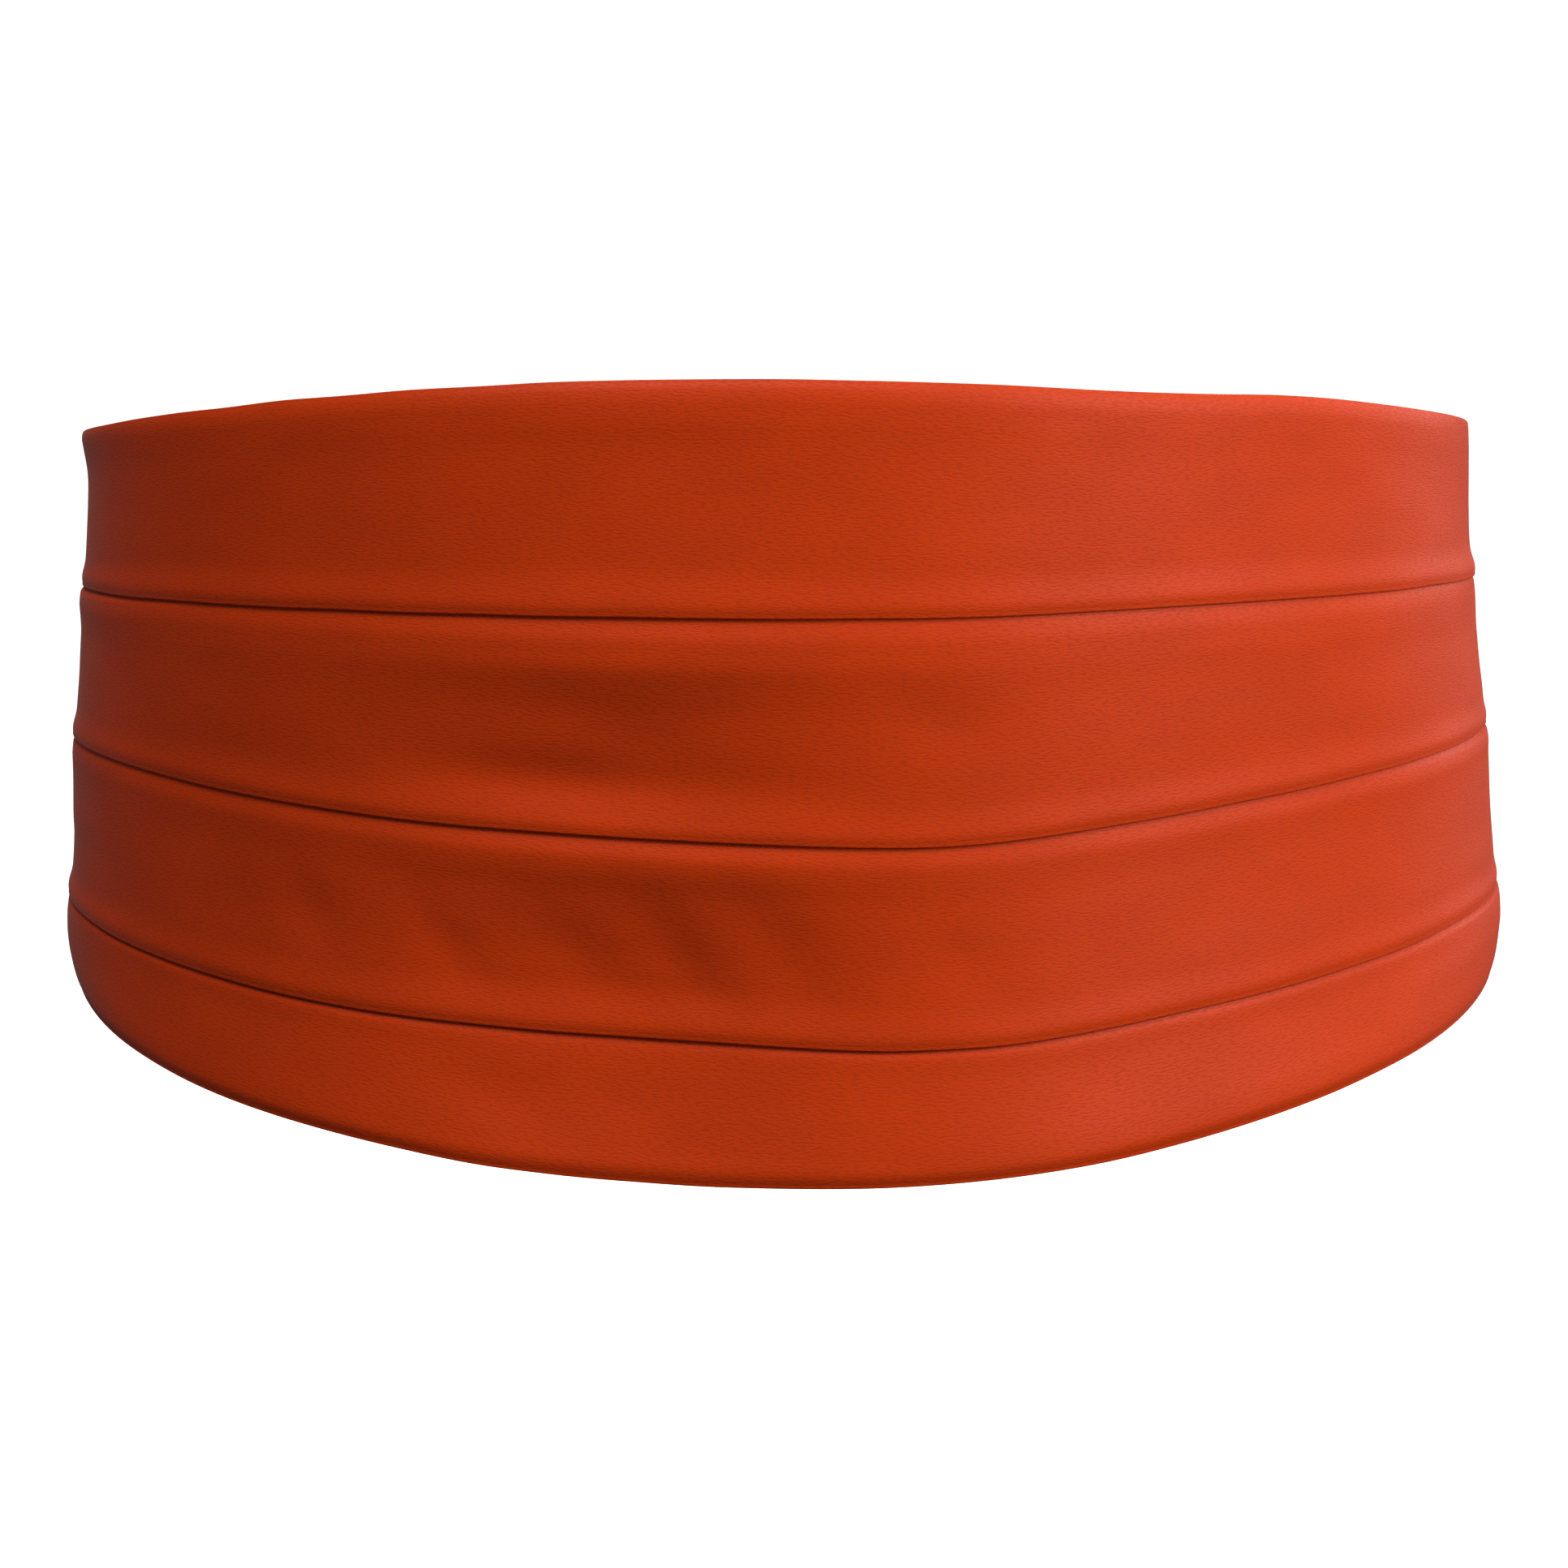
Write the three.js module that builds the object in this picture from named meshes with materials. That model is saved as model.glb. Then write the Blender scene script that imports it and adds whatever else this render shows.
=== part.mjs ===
// Pleated cummerbund, shown as worn. One cloth is folded into four overlapping panels round the
// front, an elastic strap runs back from each end of it, and a plain clasp joins the straps.
// Millimetres. The origin is the middle of the waist hollow, with +Z up. The front faces -Y and
// the wearer's left is at +X. Angles are in degrees from the front, round to 180 at the back.

import * as THREE from "three";

// Waist hollow, an ellipse seen from above
const WAIST_WIDTH = 262;
const WAIST_DEPTH = 196;

// Front cloth
const CLOTH_THICKNESS = 1.0;
const LAYER_GAP = 0.25;
const CLOTH_END_ANGLE = 122;
const HIP_FLARE = 0.08; // outward lean for each millimetre downward
const FLARE_FADE_ANGLE = 85; // where the lean starts to die away towards the back
const RIDGE_ANGLE = 20; // soft ridge where the cloth stands off the waist
const RIDGE_SPREAD = 16;
const RIDGE_RISE = 4.5;

// Height of the cloth at the front, halfway to the side, at the side and at its end
const FRONT_HEIGHT = 145.7;
const QUARTER_HEIGHT = 129.6;
const SIDE_HEIGHT = 102.8;
const END_HEIGHT = 71;

// Share of the height at each place that lies above the level of the origin
const ABOVE_ORIGIN = { front: 0.506, quarter: 0.508, side: 0.471, end: 0.465 };

// Folds, each a share of the way down from the top edge to the bottom edge at the same four
// places. dip lowers a fold near the front by a share of the height there.
const FOLDS = [
  { name: "upper", front: 0.289, quarter: 0.287, side: 0.283, end: 0.29, dip: 0 },
  { name: "middle", front: 0.564, quarter: 0.558, side: 0.558, end: 0.54, dip: 0.009 },
  { name: "lower", front: 0.816, quarter: 0.829, side: 0.855, end: 0.8, dip: 0.014 },
];
const DIP_ANGLE = 14;
const DIP_SPREAD = 11;

// Pleats and hems
const FOLD_DEPTH = 7.5; // how far the cloth runs back up behind each fold
const HEM_DEPTH = 7;
const PANEL_BULGE = 0.7;
const PANEL_NOTCH = 1; // depth of the shadow line under each fold

// Places down a panel, as shares of its height between the fold or hem above and the one below
const PANEL_SHARES = { bulge: 0.14, flat: 0.4, flare: 0.75 };

// Straps
const STRAP_WIDTH = 38;
const STRAP_THICKNESS = 1.5;
const STRAP_TUCK = 20; // length hidden behind each end of the cloth
const STRAP_RETURN = 14; // length doubled back round the clasp
const STRAP_CLEARANCE = 0.5; // between a strap and the cloth over it

// Clasp, a flat plate with a slot for each strap
const CLASP_WIDTH = 34;
const CLASP_THICKNESS = 1.6;
const CLASP_BAR = 3.5;
const CLASP_SLOT = 3.6;
const CLASP_CORNER = 3;
const SLOT_MARGIN = 1; // above and below a strap in its slot
const CLASP_CLEARANCE = 0.3; // between a strap and the plate

// Fineness of the facets
const CLOTH_STEPS = 36;
const STRAP_STEPS = 12;
const RETURN_STEPS = 3;
const CORNER_STEPS = 3;

const { degToRad } = THREE.MathUtils;
const SIDE = degToRad(90);
const CLOTH_END = degToRad(CLOTH_END_ANGLE);

const CLOTH_HEIGHTS = {
  front: FRONT_HEIGHT,
  quarter: QUARTER_HEIGHT,
  side: SIDE_HEIGHT,
  end: END_HEIGHT,
};

// Layers of the folded cloth, as the offset of each layer's middle from the cloth's inner face
const LAYER_STEP = CLOTH_THICKNESS + LAYER_GAP;
const INNER = CLOTH_THICKNESS / 2;
const MIDDLE = INNER + LAYER_STEP;
const OUTER = MIDDLE + LAYER_STEP;

const CLOTH_OFFSET = STRAP_THICKNESS + STRAP_CLEARANCE;
const STRAP_START = CLOTH_END - STRAP_TUCK / waistSpeed(CLOTH_END);
const STRAP_LEVEL = (ABOVE_ORIGIN.end - 0.5) * END_HEIGHT;

const satin = new THREE.MeshStandardMaterial({ color: 0xb23c0c, roughness: 0.62, metalness: 0 });
const elastic = new THREE.MeshStandardMaterial({ color: 0x9a3510, roughness: 0.85, metalness: 0 });
const steel = new THREE.MeshStandardMaterial({ color: 0xb9bbbd, roughness: 0.35, metalness: 1 });

/** Length along the waist for each radian at an angle from the front. */
function waistSpeed(angle) {
  return Math.hypot((WAIST_WIDTH / 2) * Math.cos(angle), (WAIST_DEPTH / 2) * Math.sin(angle));
}

/** Plan point on the waist at an angle from the front, moved out square to the waist. */
function aroundWaist(angle, offset) {
  const width = WAIST_WIDTH / 2;
  const depth = WAIST_DEPTH / 2;
  const out = new THREE.Vector2(depth * Math.sin(angle), -width * Math.cos(angle)).normalize();
  const point = new THREE.Vector2(width * Math.sin(angle), -depth * Math.cos(angle));
  return point.addScaledVector(out, offset);
}

/** Angle at which the back of the waist is at a distance x from the middle. */
function backAngle(x) {
  return Math.PI - Math.asin(x / (WAIST_WIDTH / 2));
}

/** Value at an angle, on a smooth curve through the front, quarter, side and end values. */
function alongCloth({ front, quarter, side, end }, angle) {
  const turn = Math.abs(angle);
  const second = (quarter - side - (front - side) * Math.SQRT1_2) / (1 - Math.SQRT2);
  const first = front - side - 2 * second;
  if (turn <= SIDE) {
    return side + second + first * Math.cos(turn) + second * Math.cos(2 * turn);
  }
  const past = turn - SIDE;
  const reach = CLOTH_END - SIDE;
  return side - first * past + (end - side + first * reach) * (past / reach) ** 2;
}

/** Outward lean of the cloth at an angle, gone where the straps begin. */
function flareAt(angle) {
  const fade = THREE.MathUtils.smoothstep(Math.abs(angle), degToRad(FLARE_FADE_ANGLE), STRAP_START);
  return HIP_FLARE * (1 - fade);
}

/** Smooth hump of height 1 round the waist, from its middle angle and its spread in degrees. */
function hump(angle, middle, spread) {
  return Math.exp(-(((angle - degToRad(middle)) / degToRad(spread)) ** 2));
}

/** Levels of the top edge, the folds and the bottom edge at an angle. */
function clothLevels(angle) {
  const height = alongCloth(CLOTH_HEIGHTS, angle);
  const top = height * alongCloth(ABOVE_ORIGIN, angle);
  const sag = hump(angle, DIP_ANGLE, DIP_SPREAD);
  const folds = FOLDS.map((fold) => top - height * (alongCloth(fold, angle) + fold.dip * sag));
  return { top, folds, bottom: top - height };
}

/** Three points that turn the cloth from one layer to the next, reaching height z. */
function turnPoints(from, to, z, upward) {
  const apex = z - upward * CLOTH_THICKNESS * Math.SQRT1_2;
  const foot = apex - upward * LAYER_STEP / 2;
  return [[from, foot], [(from + to) / 2, apex], [to, foot]];
}

/** Panel under the top hem, from the hem's turned-in edge down to height low. */
function topPanelPoints(high, low) {
  const free = high - low;
  return [
    [MIDDLE, high],
    [INNER, high - PANEL_SHARES.flat * free],
    [INNER, high - PANEL_SHARES.flare * free],
  ];
}

/** Panel under a fold, from the fold down to height low. */
function panelPoints(high, low) {
  const free = high - low;
  return [
    [INNER, high - PANEL_NOTCH],
    [INNER + PANEL_BULGE, high - PANEL_NOTCH - PANEL_SHARES.bulge * free],
    [INNER, high - PANEL_SHARES.flat * free],
    [INNER, high - PANEL_SHARES.flare * free],
  ];
}

/** Middle line of the folded cloth at an angle, as offsets and heights, from top hem to bottom hem. */
function clothPath(angle) {
  const { top, folds, bottom } = clothLevels(angle);
  const hemEdge = top - HEM_DEPTH;
  const path = [[INNER, hemEdge], ...turnPoints(INNER, MIDDLE, top, 1)];
  folds.forEach((fold, index) => {
    const behind = fold + FOLD_DEPTH;
    const panel = index ? panelPoints(folds[index - 1], behind) : topPanelPoints(hemEdge, behind);
    path.push(...panel, [OUTER, behind]);
    path.push(...turnPoints(OUTER, MIDDLE, fold, -1));
    path.push(...turnPoints(MIDDLE, INNER, behind, 1));
  });
  const lowerHemEdge = bottom + HEM_DEPTH;
  path.push(...panelPoints(folds.at(-1), lowerHemEdge), [MIDDLE, lowerHemEdge]);
  path.push(...turnPoints(MIDDLE, INNER, bottom, -1), [INNER, lowerHemEdge]);
  return path.map(([offset, height]) => new THREE.Vector2(offset, height));
}

/** Closed outline of a ribbon of even thickness along a middle line. */
function ribbonOutline(path, thickness) {
  const normals = path.slice(1).map((point, i) => {
    const along = point.clone().sub(path[i]).normalize();
    return new THREE.Vector2(-along.y, along.x);
  });
  const edge = (side) => path.map((point, i) => {
    const before = normals[Math.max(i - 1, 0)];
    const after = normals[Math.min(i, normals.length - 1)];
    const mitre = before.clone().add(after).normalize();
    return point.clone().addScaledVector(mitre, (side * thickness) / 2 / mitre.dot(before));
  });
  const outline = [...edge(1), ...edge(-1).reverse()];
  return THREE.ShapeUtils.isClockWise(outline) ? outline.reverse() : outline;
}

/** Front cloth: the folded section carried round the waist from one end to the other. */
function pleatedFront() {
  const positions = [];
  const triangles = [];
  const outlines = [];
  for (let step = 0; step <= CLOTH_STEPS; step += 1) {
    const angle = THREE.MathUtils.lerp(-CLOTH_END, CLOTH_END, step / CLOTH_STEPS);
    const outline = ribbonOutline(clothPath(angle), CLOTH_THICKNESS);
    const base = CLOTH_OFFSET + RIDGE_RISE * hump(angle, RIDGE_ANGLE, RIDGE_SPREAD);
    for (const { x: offset, y: level } of outline) {
      const point = aroundWaist(angle, base + offset - flareAt(angle) * level);
      positions.push(point.x, point.y, level);
    }
    outlines.push(outline);
  }
  const count = outlines[0].length;
  for (let step = 0; step < CLOTH_STEPS; step += 1) {
    for (let i = 0; i < count; i += 1) {
      const next = (i + 1) % count;
      const near = step * count;
      const far = near + count;
      triangles.push(near + i, far + i, far + next);
      triangles.push(near + i, far + next, near + next);
    }
  }
  for (const [a, b, c] of THREE.ShapeUtils.triangulateShape(outlines[0], [])) {
    triangles.push(a, b, c);
  }
  const last = CLOTH_STEPS * count;
  for (const [a, b, c] of THREE.ShapeUtils.triangulateShape(outlines.at(-1), [])) {
    triangles.push(last + c, last + b, last + a);
  }
  const geometry = new THREE.BufferGeometry();
  geometry.setAttribute("position", new THREE.Float32BufferAttribute(positions, 3));
  geometry.setIndex(triangles);
  geometry.computeVertexNormals();
  return geometry;
}

/** Places of a strap's passage round the clasp's outer bar, on the side of +X. */
function claspPassage() {
  const half = STRAP_THICKNESS / 2;
  const barOuter = CLASP_WIDTH / 2;
  const slotOuter = barOuter - CLASP_BAR;
  const pass = slotOuter - CLASP_CLEARANCE - half;
  const plate = aroundWaist(backAngle(pass), STRAP_THICKNESS + CLASP_CLEARANCE).y;
  const over = plate + CLASP_THICKNESS + CLASP_CLEARANCE + half;
  return { half, barOuter, slotOuter, pass, plate, over };
}

/** Strap: along the waist, out through the slot, over the bar and back along itself. */
function strap(side) {
  const { half, barOuter, pass, over } = claspPassage();
  const path = [];
  const mainEnd = backAngle(pass + half);
  for (let step = 0; step <= STRAP_STEPS; step += 1) {
    const angle = THREE.MathUtils.lerp(STRAP_START, mainEnd, step / STRAP_STEPS);
    path.push(aroundWaist(angle, half));
  }
  const under = path.at(-1).y;
  path.push(new THREE.Vector2(pass, under + half));
  path.push(new THREE.Vector2(pass, over - half));
  path.push(new THREE.Vector2(pass + half, over));
  path.push(new THREE.Vector2(barOuter + CLASP_CLEARANCE, over));
  const returned = STRAP_THICKNESS + CLASP_CLEARANCE + half;
  const returnStart = backAngle(barOuter + 2 * STRAP_THICKNESS);
  const returnEnd = returnStart - STRAP_RETURN / waistSpeed(returnStart);
  for (let step = 0; step <= RETURN_STEPS; step += 1) {
    const angle = THREE.MathUtils.lerp(returnStart, returnEnd, step / RETURN_STEPS);
    path.push(aroundWaist(angle, returned));
  }
  for (const point of path) {
    point.x *= side;
  }
  const shape = new THREE.Shape(ribbonOutline(path, STRAP_THICKNESS));
  const geometry = new THREE.ExtrudeGeometry(shape, { depth: STRAP_WIDTH, bevelEnabled: false });
  return geometry.translate(0, 0, STRAP_LEVEL - STRAP_WIDTH / 2);
}

/** Outline of a rectangle with quarter-round corners, centred at x. */
function roundedRectangle(x, width, height, radius) {
  const points = [];
  for (let corner = 0; corner < 4; corner += 1) {
    const middle = SIDE * (corner + 0.5);
    const centreX = x + Math.sign(Math.cos(middle)) * (width / 2 - radius);
    const centreY = Math.sign(Math.sin(middle)) * (height / 2 - radius);
    for (let step = 0; step <= CORNER_STEPS; step += 1) {
      const angle = SIDE * (corner + step / CORNER_STEPS);
      const out = new THREE.Vector2(Math.cos(angle), Math.sin(angle)).multiplyScalar(radius);
      points.push(out.add(new THREE.Vector2(centreX, centreY)));
    }
  }
  return points;
}

/** Clasp plate, drawn as seen from the front and stood up behind the straps. */
function claspPlate() {
  const { slotOuter } = claspPassage();
  const slotHeight = STRAP_WIDTH + 2 * SLOT_MARGIN;
  const plate = new THREE.Shape(
    roundedRectangle(0, CLASP_WIDTH, slotHeight + 2 * CLASP_BAR, CLASP_CORNER),
  );
  for (const side of [-1, 1]) {
    const x = side * (slotOuter - CLASP_SLOT / 2);
    plate.holes.push(new THREE.Path(roundedRectangle(x, CLASP_SLOT, slotHeight, SLOT_MARGIN)));
  }
  return new THREE.ExtrudeGeometry(plate, { depth: CLASP_THICKNESS, bevelEnabled: false });
}

/** Mesh with a name and a material. */
function piece(name, geometry, material) {
  const mesh = new THREE.Mesh(geometry, material);
  mesh.name = name;
  return mesh;
}

const clasp = piece("clasp", claspPlate(), steel);
clasp.rotation.x = SIDE;
clasp.position.set(0, claspPassage().plate + CLASP_THICKNESS, STRAP_LEVEL);

const cummerbund = new THREE.Group();
cummerbund.add(piece("pleated_front", pleatedFront(), satin));
cummerbund.add(piece("strap_left", strap(1), elastic));
cummerbund.add(piece("strap_right", strap(-1), elastic));
cummerbund.add(clasp);

export default cummerbund;
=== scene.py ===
"""Pleated satin cummerbund, shown as worn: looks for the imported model, in metres.

The front faces -Y, the wearer's left is at +X and +Z is up. Angles are in degrees from the
front, round to 180 at the back. The folded cloth, the straps, the clasp and the stitching are
meshes worked out here, and each rides on the model's one body.
"""

import math

import bpy
import numpy as np
from mathutils import Matrix, Vector


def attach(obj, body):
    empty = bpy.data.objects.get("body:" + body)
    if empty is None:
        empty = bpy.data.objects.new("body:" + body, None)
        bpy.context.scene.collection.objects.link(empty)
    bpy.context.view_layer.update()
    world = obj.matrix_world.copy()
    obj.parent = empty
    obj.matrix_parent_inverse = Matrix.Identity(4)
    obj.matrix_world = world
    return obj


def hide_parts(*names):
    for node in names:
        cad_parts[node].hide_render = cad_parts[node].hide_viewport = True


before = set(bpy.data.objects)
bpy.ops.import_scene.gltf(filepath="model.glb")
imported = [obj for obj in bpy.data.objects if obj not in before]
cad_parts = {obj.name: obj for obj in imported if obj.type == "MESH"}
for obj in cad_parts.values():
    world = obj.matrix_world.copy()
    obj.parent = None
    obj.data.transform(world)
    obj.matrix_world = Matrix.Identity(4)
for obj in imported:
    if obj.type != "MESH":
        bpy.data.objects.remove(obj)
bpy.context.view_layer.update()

MM = 0.001
BODY = "root"

# Waist and cloth, close to the sizes of the solids
WAIST_WIDTH = 262 * MM
WAIST_DEPTH = 196 * MM
CLOTH_END_ANGLE = 122
HIP_FLARE = 0.08  # outward lean for each metre downward
FLARE_FADE_ANGLE = 85  # where the lean starts to die away towards the back
RIDGE = {"angle": 14, "spread": 20, "rise": 4 * MM}  # where the cloth stands off the waist
WAIST_ANGLES = np.linspace(-math.pi, math.pi, 4001)  # where the waist is measured round

# Height of the cloth, and the share of it above the origin, at the front, halfway to the side,
# at the side and at the cloth's end
CLOTH_HEIGHT = (145.7 * MM, 129.5 * MM, 102.9 * MM, 71 * MM)
ABOVE_ORIGIN = (0.508, 0.509, 0.481, 0.465)

# Folds, as shares of the way down from the top edge at the same four places, with a dip near
# the front as a share of the height there
FOLDS = (
    {"places": (0.291, 0.287, 0.283, 0.29), "dip": 0.0},
    {"places": (0.572, 0.560, 0.56, 0.54), "dip": 0.007},
    {"places": (0.826, 0.832, 0.855, 0.80), "dip": 0.007},
)
DIP = {"angle": 14, "spread": 11}

# Soft sags of the top and bottom edges
TOP_DIP = {"angle": 30, "spread": 14, "drop": 1.2 * MM}
BOTTOM_DIP = {"angle": -18, "spread": 14, "drop": 1 * MM}

# Cloth as it looks: thinner than the solids' wall, with its layers closer together
FACE_OFFSET = 3.0 * MM  # the waist to the outer face of a flat panel
THICKNESS = 0.25 * MM
LAYER_STEP = 0.32 * MM
FOLD_DEPTH = 3.5 * MM
HEM_DEPTH = 7 * MM
HEM_SHARE = 0.26  # share of a panel's height that the turned-in hem backs
START_DROP = 0.4 * MM  # how far below a fold's edge the next panel begins to swell
NOSE_RADIUS = 0.55 * MM

# How far a fold's round edge stands beyond its layers
NOSE_RISE = {"front": 0.45 * MM, "between": 0.25 * MM, "left": 0.25 * MM, "right": 0.3 * MM}
# Height over which a panel leans out to the fold below it
FLARE_DEPTH = {"front": 9 * MM, "between": 7 * MM, "left": 4.5 * MM, "right": 4.5 * MM}
ROLL = {"depth": 2 * MM, "reach": 0.28 * MM}  # how a panel's lower end rounds under
CROWDING = 0.12  # how much closer together a panel's points are near its two ends

# Relief of each panel down its free height, in millimetres out from a flat cloth: at the front,
# between the front and the sides, and at the wearer's left and right sides
PANEL_RELIEF = (
    {"share": (0.0, 0.03, 0.09, 0.17, 0.26, 0.36, 0.55, 0.8, 1.0),
     "front": (-0.6, 0.05, 0.5, 0.6, 0.35, 0.25, 0.2, 0.25, 0.45),
     "between": (-0.5, 0.05, 0.45, 0.45, 0.35, 0.3, 0.25, 0.25, 0.35),
     "left": (1.1, 1.15, 1.1, 1.0, 0.8, 0.6, 0.2, 0.0, 0.3),
     "right": (2.2, 2.3, 2.0, 1.45, 0.9, 0.62, 0.5, 0.45, 0.6)},
    {"share": (0.0, 0.04, 0.11, 0.2, 0.32, 0.45, 0.63, 0.78, 0.92, 1.0),
     "front": (0.0, 0.4, 0.95, 0.95, -0.1, -1.4, -2.4, -3.0, -3.0, -2.8),
     "between": (0.0, 0.3, 0.6, 0.6, 0.4, 0.2, 0.0, -0.2, -0.3, -0.3),
     "left": (0.0, 0.3, 0.35, 0.3, 0.2, 0.25, 0.35, 0.5, 0.55, 0.6),
     "right": (0.15, 1.1, 1.2, 0.9, 0.6, 0.6, 0.55, 0.6, 0.7, 0.9)},
    {"share": (0.0, 0.04, 0.1, 0.16, 0.28, 0.5, 0.64, 0.8, 1.0),
     "front": (-3.2, -2.75, -2.3, -2.5, -3.5, -4.9, -5.7, -6.2, -6.0),
     "between": (-0.75, -0.5, -0.25, -0.35, -0.5, -0.5, -0.4, -0.2, -0.1),
     "left": (0.15, 0.9, 1.0, 0.85, 0.7, 0.45, 0.4, 0.4, 0.5),
     "right": (0.45, 0.95, 1.0, 0.85, 0.55, 0.1, -0.25, -0.25, 0.0)},
    {"share": (0.0, 0.06, 0.2, 0.4, 0.6, 0.8, 0.92, 1.0),
     "front": (-6.4, -5.95, -5.5, -5.0, -4.2, -3.3, -2.8, -2.9),
     "between": (-0.55, -0.1, 0.1, 0.6, 1.2, 1.8, 2.0, 1.8),
     "left": (0.05, 0.9, 1.1, 1.0, 0.5, -0.2, -0.8, -1.2),
     "right": (-0.4, 0.15, 0.25, 0.1, -0.3, -1.1, -1.8, -2.4)},
)
FRONT_ZONE = {"angle": -12, "spread": 18}
SIDE_ZONE = {"start": 45, "end": 90}
END_FADE = {"start": 92, "end": 116}  # where the relief dies away towards the cloth's ends

# Soft dents: panel, place along it from the front and share down it, half lengths along and
# across, slant down towards the wearer's left in degrees, and depth, lengths in millimetres
DENTS = (
    {"panel": 2, "place": -88, "down": 0.55, "half": (9, 5), "slant": 60, "depth": 0.45},
    {"panel": 2, "place": -62, "down": 0.60, "half": (12, 5), "slant": 55, "depth": 0.5},
    {"panel": 2, "place": -38, "down": 0.60, "half": (10, 5), "slant": 50, "depth": 0.3},
    {"panel": 2, "place": -19, "down": 0.58, "half": (12, 5), "slant": 55, "depth": 0.5},
    {"panel": 2, "place": 0, "down": 0.54, "half": (13, 6), "slant": 60, "depth": 0.45},
    {"panel": 2, "place": 32, "down": 0.62, "half": (11, 5), "slant": 60, "depth": 0.2},
    {"panel": 1, "place": -42, "down": 0.82, "half": (26, 6), "slant": 4, "depth": 1.2},
    {"panel": 1, "place": -20, "down": 0.66, "half": (14, 7), "slant": 20, "depth": 0.4},
    {"panel": 1, "place": 26, "down": 0.42, "half": (14, 6), "slant": 25, "depth": 0.35},
    {"panel": 3, "place": -50, "down": 0.55, "half": (14, 6), "slant": 20, "depth": 0.3},
)
MOTTLE = 0.1 * MM  # soft unevenness of the panels
MOTTLE_PITCH = (16 * MM, 9 * MM)
MOTTLE_SEED = 10
WAVER = 0.1 * MM  # unevenness of the folds and edges
WAVER_PITCH = 14 * MM

# Fineness of the cloth's mesh
STATIONS = 240
PANEL_POINTS = 36
TURN_POINTS = 7

# Straps and clasp, with the sizes of the solids
STRAP_WIDTH = 38 * MM
STRAP_THICKNESS = 1.5 * MM
STRAP_TUCK = 20 * MM
STRAP_RETURN = 14 * MM
STRAP_BEND = 1.2 * MM
STRAP_EDGE = 0.6 * MM
STRAP_PITCH = 0.9 * MM
RETURN_POINTS = 14
BEND_POINTS = 9
STRAIGHT_TURN = math.radians(8)  # a smaller turn in a strap's path isn't rounded
EDGE_POINTS = 5
FACE_POINTS = 10
CLASP_WIDTH = 34 * MM
CLASP_THICKNESS = 1.6 * MM
CLASP_BAR = 3.5 * MM
CLASP_SLOT = 3.6 * MM
CLASP_CORNER = 3 * MM
CORNER_STEPS = 6
CLASP_BEVEL = 0.35 * MM
CLASP_CLEARANCE = 0.3 * MM
SLOT_MARGIN = 1 * MM

# Stitching
STITCH_LENGTH = 2.3 * MM
STITCH_GAP = 0.8 * MM
THREAD_RADIUS = 0.2 * MM
STITCH_SUNK = 0.08 * MM
STITCH_TIP = 0.45  # share of a thread's radius that is left at a stitch's ends
STITCH_SIDES = 6
STITCH_BENDS = 5
SEAM_PLACES = (3 * MM, 6 * MM)  # rows of stitches in from each end of the cloth
SEAM_MARGIN = 1.5 * MM
SEAM_PITCH = 0.4 * MM
STRAP_ROWS = (3 * MM, 11 * MM)  # rows in from each end of a strap
DOUBLED_SHARE = 0.6  # how much closer to the end the rows are where a strap is doubled
ROW_MARGIN = 3 * MM
ROW_POINTS = 60

# Camera of the photograph
CAMERA_ELEVATION = 12
CAMERA_ROLL = 0.45
CAMERA_DISTANCE = 1.5
CAMERA_TARGET = Vector((0.6 * MM, 0, -20.1 * MM))
FRAME_PIXELS = 1932
PIXELS_PER_METRE = 6400  # at the target
SENSOR_WIDTH = 36

# Floor and light
FLOOR_LEVEL = -0.45
FLOOR_REACH = 12
SURROUND = 0.13
LIGHTS = (
    {"name": "key", "azimuth": 57, "elevation": 25, "distance": 1.5, "size": 0.9, "power": 23},
    {"name": "top", "azimuth": -18, "elevation": 62, "distance": 1.5, "size": 0.9, "power": 19},
    {"name": "rim", "azimuth": 118, "elevation": 15, "distance": 1.5, "size": 0.9, "power": 9},
    {"name": "back", "azimuth": 180, "elevation": 25, "distance": 1.5, "size": 0.9, "power": 13},
)

CLOTH_END = math.radians(CLOTH_END_ANGLE)
SIDE = math.pi / 2


def waist_speed(angle):
    """Length along the waist for each radian."""
    return np.hypot(WAIST_WIDTH / 2 * np.cos(angle), WAIST_DEPTH / 2 * np.sin(angle))


STRAP_START = CLOTH_END - STRAP_TUCK / waist_speed(CLOTH_END)
STRAP_LEVEL = (ABOVE_ORIGIN[3] - 0.5) * CLOTH_HEIGHT[3]


def around_waist(angle, offset, level):
    """Points at angles round the waist, moved out square to it, at a level."""
    half_width, half_depth = WAIST_WIDTH / 2, WAIST_DEPTH / 2
    out_x = half_depth * np.sin(angle)
    out_y = -half_width * np.cos(angle)
    size = np.hypot(out_x, out_y)
    x = half_width * np.sin(angle) + offset * out_x / size
    y = -half_depth * np.cos(angle) + offset * out_y / size
    return np.stack(np.broadcast_arrays(x, y, level), -1)


def back_angle(x):
    """Angle of the waist's point behind the middle that is x to the wearer's left."""
    return math.pi - math.asin(x / (WAIST_WIDTH / 2))


def hump(angle, middle, spread):
    """Smooth hump of height 1 round the waist."""
    return np.exp(-(((angle - math.radians(middle)) / math.radians(spread)) ** 2))


def smooth_step(share):
    """Eases from 0 to 1."""
    share = np.clip(share, 0, 1)
    return share**2 * (3 - 2 * share)


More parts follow.
